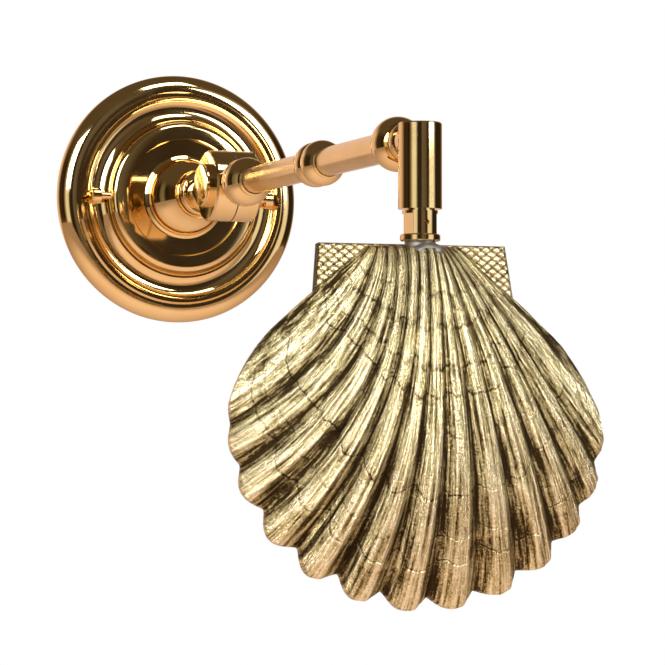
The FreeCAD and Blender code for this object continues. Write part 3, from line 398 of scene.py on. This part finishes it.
def leaned(u, drop, proud):
    """Shade's own measures (across, down its plane, towards the room) to the row frame."""
    y = -proud * math.cos(LEAN) - drop * math.sin(LEAN)
    z = proud * math.sin(LEAN) - drop * math.cos(LEAN)
    return np.stack([u + 0 * y, y + HINGE[1], z + HINGE[2]], -1)


def lobe(rib):
    """1 on a rib's crest, 0 in the valleys: a raised cosine to the power 0.6, for broad crests."""
    return (0.5 + 0.5 * np.cos(2 * np.pi * rib)) ** 0.6


def hump(away, width):
    """1 at the middle, falling as exp(-(away / width)^2)."""
    return np.exp(-(away / width) ** 2)


def rim(rib):
    """Turned ellipse, drawn in by the notch depth between lobes and on the shoulders."""
    angle = np.radians(np.interp(rib + 1, range(RIBS + 2), RIM_ANGLES))
    notch = np.interp(rib + 0.5, range(RIBS + 1), NOTCHES, left=0, right=0)
    pull = np.interp(rib + 1, range(RIBS + 2), RIM_SHARES) - NOTCH_UNIT * notch * (1 - lobe(rib))
    u, drop = RIM_ACROSS * np.sin(angle - RIM_TWIST), RIM_DOWN * np.cos(angle - RIM_TWIST)
    return ((u * math.cos(RIM_TWIST) + drop * math.sin(RIM_TWIST)) * pull,
            RIM_CENTRE + (drop * math.cos(RIM_TWIST) - u * math.sin(RIM_TWIST)) * pull)


def dome(rib, share):
    """Smooth dome: quadratic curves from the top edge (share 0) to the rim (share 1). Each rib starts
    2.75 mm from the last, leaves at a part of its chord's angle so that it flares, and has its control
    point at 0.54 of the chord. The dome swells by 23.5 mm times share^0.7 (1 - share)^0.9 over that
    product's peak, less towards the sides, and stands out at the root, over the boss."""
    u, drop = rim(rib)
    away = rib - MIDDLE
    start_u, start_drop = 2.75 * away, 1.0 + 2.5 * hump(away, 2.6)
    reach, spread = np.hypot(u - start_u, drop - start_drop), np.arctan2(u - start_u, drop - start_drop)
    side = np.abs(away) / 7
    step = np.clip((rib - 2) / 8, 0, 1)
    flare = 0.3 + 0.55 * step ** 2 * (3 - 2 * step) + np.where(away < 0, 1.05, 0.2) * side ** 6
    control_u = start_u + 0.54 * reach * np.sin(spread * flare)
    control_drop = start_drop + 0.54 * reach * np.cos(spread * flare)
    first, second = 2 * share * (1 - share), share ** 2
    peak = 0.334
    crown = np.maximum(share, 0) ** 0.7 * np.maximum(1 - share, 0) ** 0.9 / peak
    boss = 1.5 + 14.8 * hump(away, 3.1)
    proud = 23.5 * crown * (1 - 1.06 * side ** 2.4) + boss * (1 - share) ** 6
    return np.stack([start_u * (1 - share) ** 2 + first * control_u + second * u,
                     start_drop * (1 - share) ** 2 + first * control_drop + second * drop, proud], -1)


def outward(rib, share):
    """Unit normal of the smooth dome, by small steps along and across."""
    along = dome(rib, np.minimum(share + 0.01, 1)) - dome(rib, np.maximum(share - 0.01, 0))
    across = dome(rib + 0.01, share) - dome(rib - 0.01, share)
    out = np.cross(across, along)
    out *= np.sign(out[..., 2:])
    return out / np.linalg.norm(out, axis=-1, keepdims=True)


def carving(rib, share):
    """Relief in millimetres: sine striae, 2 to 5 to a rib, that wander along it and grow in over the
    first 0.4 of its length, and steps where growth paused, which drop by up to 0.35 mm and rise again
    over some 0.02 of the length."""
    rng = np.random.default_rng(7)
    relief = np.zeros_like(rib)
    for number in (2, 3, 4, 5):
        wander = 0.25 * np.sin(5 * share + rng.uniform(0, 6)) + 0.08 * np.sin(17 * share + rng.uniform(0, 6))
        relief += 0.09 * np.sin(2 * np.pi * (number * rib + wander) + rng.uniform(0, 6))
    relief *= np.clip(share * 2.5, 0.1, 1)
    for place in (0.23, 0.34, 0.42, 0.69, 0.83, 0.91):
        wander = place + 0.012 * np.sin(rib * 1.7 + place * 40) + 0.007 * np.sin(rib * 7.1 + place * 90)
        back = (share - wander) / 0.05
        deep = 0.35 * np.clip(0.6 + 0.8 * np.sin(rib * 0.9 + place * 25), 0, 1)
        relief -= deep * np.where(back > 0, np.exp(-back * 2.5), 0)
    return relief


def shade():
    """Closed casting: outer and inner skins on one grid of rib and share, joined round the edge. The
    ribs fade in from the top edge, and out beyond the first and last."""
    ribs = np.concatenate([[-0.62], np.linspace(-0.5, 12.5, RIBS * 24 + 1), [12.62]])
    shares = np.concatenate([np.linspace(0, 0.15, 20), np.linspace(0.15, 1.0, 126)[1:]])
    rib, share = np.meshgrid(ribs, shares, indexing="ij")
    fade = np.minimum(1, share * 1.5) * np.clip(7 - np.abs(rib - MIDDLE), 0, 1)
    normal = outward(rib, share)
    relief = carving(rib, share)
    wave = fade * (lobe(rib) - 0.5)
    outer = dome(rib, share) + normal * (RIB_OUTSIDE * wave + relief)[..., None]
    inner = dome(rib, share) + normal * (RIB_INSIDE * wave)[..., None]
    inner[..., 2] -= WALL
    skins = np.stack([outer, inner])
    points = leaned(skins[..., 0], skins[..., 1], skins[..., 2])
    number = np.arange(2 * rib.size).reshape(2, *rib.shape)
    faces = []
    for skin, way in zip(number, (1, -1)):
        corners = [skin[:-1, :-1], skin[1:, :-1], skin[1:, 1:], skin[:-1, 1:]]
        faces.append(np.stack(corners[::way], -1).reshape(-1, 4))
    front, back = np.concatenate([number[:, :, 0], number[:, -1, 1:], number[:, ::-1, -1][:, 1:],
                                  number[:, 0, ::-1][:, 1:]], 1)
    faces.append(np.stack([front[:-1], back[:-1], back[1:], front[1:]], -1))
    thing = piece("scallop_casting", points, np.concatenate(faces), "shade", CAST, ["shell_shade"],
                  sharp=50.0)
    # Outer skin: painted highlight on the rib crests and raised relief, painted shade in the valleys and
    # growth steps, and painted shade near the top edge.
    outer_painted_light = 0.04 + 0.66 * lobe(rib) + 0.6 * relief - 0.15 * hump(share, 0.1)
    # Inner skin: a fainter painted highlight on its rib crests, painted shade between them.
    inner_painted_light = 0.35 + 0.2 * lobe(rib)
    mark(thing, "crest", "FLOAT", np.stack([outer_painted_light, inner_painted_light]))
    mark(thing, "fan", "FLOAT_VECTOR", np.stack([np.stack([rib, share, 0 * rib], -1)] * 2))


def ear(side):
    """One flat ear, side -1 left or +1 right: a plate with a crossed pattern of pillowed lozenges, each
    4.3 mm across, that rise as the root of |sin(pi a) sin(pi b)| and fade out at the edges. The plate is
    laid out by s from the ribs outwards and t down to its lower edge."""
    s, t = np.meshgrid(np.linspace(0, 1, 150), np.linspace(0, 1, 84), indexing="ij")
    start_u, end_u = 3.0, 38 + 2.4 * t
    u = side * (start_u + (end_u - start_u) * s)
    drop = t * np.interp(s, [0, 0.25, 0.55, 1], [9.2, 12.5, 19.8, 21.0])
    lozenge, slope = 4.3, 1.3
    a, b = (u + drop * slope) / lozenge, (u - drop * slope) / lozenge
    pillow = np.abs(np.sin(np.pi * a)) ** 0.5 * np.abs(np.sin(np.pi * b)) ** 0.5
    edge = np.minimum.reduce([s * 9, (1 - s) * 30, t * 20, (1 - t) * 20]).clip(0, 1)
    front = 0.75 + 0.7 * pillow * edge
    back = np.full_like(front, -2.6)
    points = leaned(np.concatenate([u, u[::-1]]), np.concatenate([drop, drop[::-1]]),
                    np.concatenate([front, back[::-1]]))
    thing = surface("ear_" + ("right" if side > 0 else "left"), points, "shade", CAST, around=False)
    reshape(thing.data, cap)
    place = np.zeros(len(thing.data.vertices) * 3)
    thing.data.vertices.foreach_get("co", place)
    place = place.reshape(-1, 3) / MM - HINGE
    proud = -place[:, 1] * math.cos(LEAN) + place[:, 2] * math.sin(LEAN)
    # Painted highlight on the raised lozenges, painted shade on the flat plate between them.
    mark(thing, "crest", "FLOAT", 0.02 + 0.9 * np.clip((proud - 0.8) / 0.6, 0, 1))


def solder_blob():
    """Frozen drop of solder over the ribs' root: an ellipsoid whose radius wavers by up to 0.08 of it."""
    up, turn = np.meshgrid(np.linspace(0, np.pi, 40), np.linspace(0, 2 * np.pi, 64, endpoint=False),
                           indexing="ij")
    waver = 1 + 0.05 * np.sin(3 * turn + 1) * np.sin(up) + 0.03 * np.cos(5 * turn + 3 * up) * np.sin(up)
    x = 0.6 + 6.3 * waver * np.sin(up) * np.cos(turn)
    y = 3.6 * waver * np.sin(up) * np.sin(turn) - 316.2
    z = 3.3 * waver * np.cos(up) - 42.6
    surface("solder_drop", np.stack([x, y, z], -1), "shade", SOLDER, along=False)


shade()
solder_blob()
ear(-1)
ear(1)
turned("cast_boss", [(5.05, -50), (7.6, -50), (7.6, -42), (5.05, -42)], "shade", (), "height", ELBOW, 96,
       CAST)


# ------------------------------------------------------------------ studio

# Colours of the room all round the sconce. Places 0 and 1 are towards -X, 0.25 is straight out from the
# wall, 0.5 towards +X and 0.75 behind the wall. Two windows stand on either side of a dim strip, with
# dark between, and what lies behind the wall is warm and pale.
ROOM = [(0.03, "#2B2010"), (0.055, "#8C8368"), (0.085, "#EFEBE0"), (0.125, "#E6E0D2"), (0.15, "#2E2618"),
        (0.2, "#2C241A"), (0.225, "#6A6054"), (0.275, "#5E5446"), (0.29, "#342B20"), (0.318, "#342B20"),
        (0.335, "#EFEBE0"), (0.4, "#EFEBE0"), (0.43, "#2A2218"), (0.56, "#302618"), (0.64, "#A88A70"),
        (0.72, "#EBC9B4"), (0.86, "#E8C6B0"), (0.93, "#3A2C1E")]
# Lamps by name: place and width in metres, power in watts. All aim at the middle of the sconce.
LAMPS = {"window_left": ((-1.6, -1.6, 0.9), 1.2, 46), "window_right": ((1.3, -1.9, 0.7), 1.0, 30),
         "window_top": ((0.5, -1.5, 2.2), 0.9, 16)}
SCONCE = np.array([0, -0.25, -0.06])


def floor():
    """Warm floor, 12 m square and 1.3 m below the arm, which the camera sees as white paper."""
    bpy.ops.mesh.primitive_plane_add(size=12, location=(0, 0, -1.3))
    sheet = bpy.context.object
    sheet.name = "floor"
    made, tree, shader = material("warm_paper_floor")
    feed(tree, shader, Base_Color=linear("#F0D4C2"), Roughness=0.8, Emission_Color=linear("#F0D0BC"),
         Emission_Strength=0.28)
    path = node(tree, "ShaderNodeLightPath")
    white = node(tree, "ShaderNodeEmission", Strength=1.0)
    mix = node(tree, "ShaderNodeMixShader", n0=path.outputs["Is Camera Ray"], n1=shader.outputs[0],
               n2=white.outputs[0])
    feed(tree, tree.nodes["Material Output"], n0=mix.outputs[0])
    sheet.data.materials.append(made)


def room():
    """Soft world of windows and dark walls over a warm floor, which the camera sees as plain white."""
    world = bpy.data.worlds.new("studio")
    bpy.context.scene.world = world
    world.use_nodes = True
    tree = world.node_tree
    tree.nodes.clear()
    way = node(tree, "ShaderNodeTexCoord").outputs["Generated"]
    axes = node(tree, "ShaderNodeSeparateXYZ", n0=way)
    turn = node(tree, "ShaderNodeMath", {"operation": "ARCTAN2"}, n0=axes.outputs["Y"], n1=axes.outputs["X"])
    place = node(tree, "ShaderNodeMapRange", Value=turn.outputs[0], n1=-math.pi, n2=math.pi)
    walls = ramp(tree, place.outputs[0], ROOM)
    soft = {"interpolation_type": "SMOOTHSTEP"}
    level = node(tree, "ShaderNodeMapRange", soft, Value=axes.outputs["Z"], n1=-0.5, n2=-0.14)
    lower = node(tree, "ShaderNodeMix", {"data_type": "RGBA"}, n0=level.outputs[0],
                 n6=linear("#FFB488"), n7=walls)
    high = node(tree, "ShaderNodeMapRange", soft, Value=axes.outputs["Z"], n1=0.35, n2=0.7)
    whole = node(tree, "ShaderNodeMix", {"data_type": "RGBA"}, n0=high.outputs[0], n6=lower.outputs[2],
                 n7=linear("#564836"))
    lit = node(tree, "ShaderNodeBackground", Color=whole.outputs[2], Strength=1.15)
    plain = node(tree, "ShaderNodeBackground", Color=[1, 1, 1, 1], Strength=1.0)
    path = node(tree, "ShaderNodeLightPath")
    mix = node(tree, "ShaderNodeMixShader", n0=path.outputs["Is Camera Ray"], n1=lit.outputs[0],
               n2=plain.outputs[0])
    node(tree, "ShaderNodeOutputWorld", n0=mix.outputs[0])


def lamps():
    """Square area lamps that face the sconce."""
    for name, (place, size, power) in LAMPS.items():
        light = bpy.data.lights.new(name, "AREA")
        light.size = size
        light.energy = power
        lamp = bpy.data.objects.new(name, light)
        bpy.context.scene.collection.objects.link(lamp)
        lamp.location = place
        aim = SCONCE - place
        lamp.rotation_euler = (math.acos(-aim[2] / np.linalg.norm(aim)), 0,
                               math.atan2(aim[1], aim[0]) - math.pi / 2)


def camera():
    """The photograph's view: 1.3 m away on the left, a little below the arm, looking slightly up."""
    focal_pixels, frame_pixels = 2600, 665
    lens = bpy.data.cameras.new("camera")
    lens.sensor_width = 36
    lens.lens = focal_pixels * lens.sensor_width / frame_pixels
    lens.clip_end = 50
    eye = bpy.data.objects.new("camera", lens)
    bpy.context.scene.collection.objects.link(eye)
    eye.location = (-0.3725, -1.2105, -0.0991)
    eye.rotation_euler = (math.radians(91.55), 0, math.radians(-20.54))
    bpy.context.scene.camera = eye


floor()
room()
lamps()
camera()
bpy.context.scene.view_settings.view_transform = "Standard"
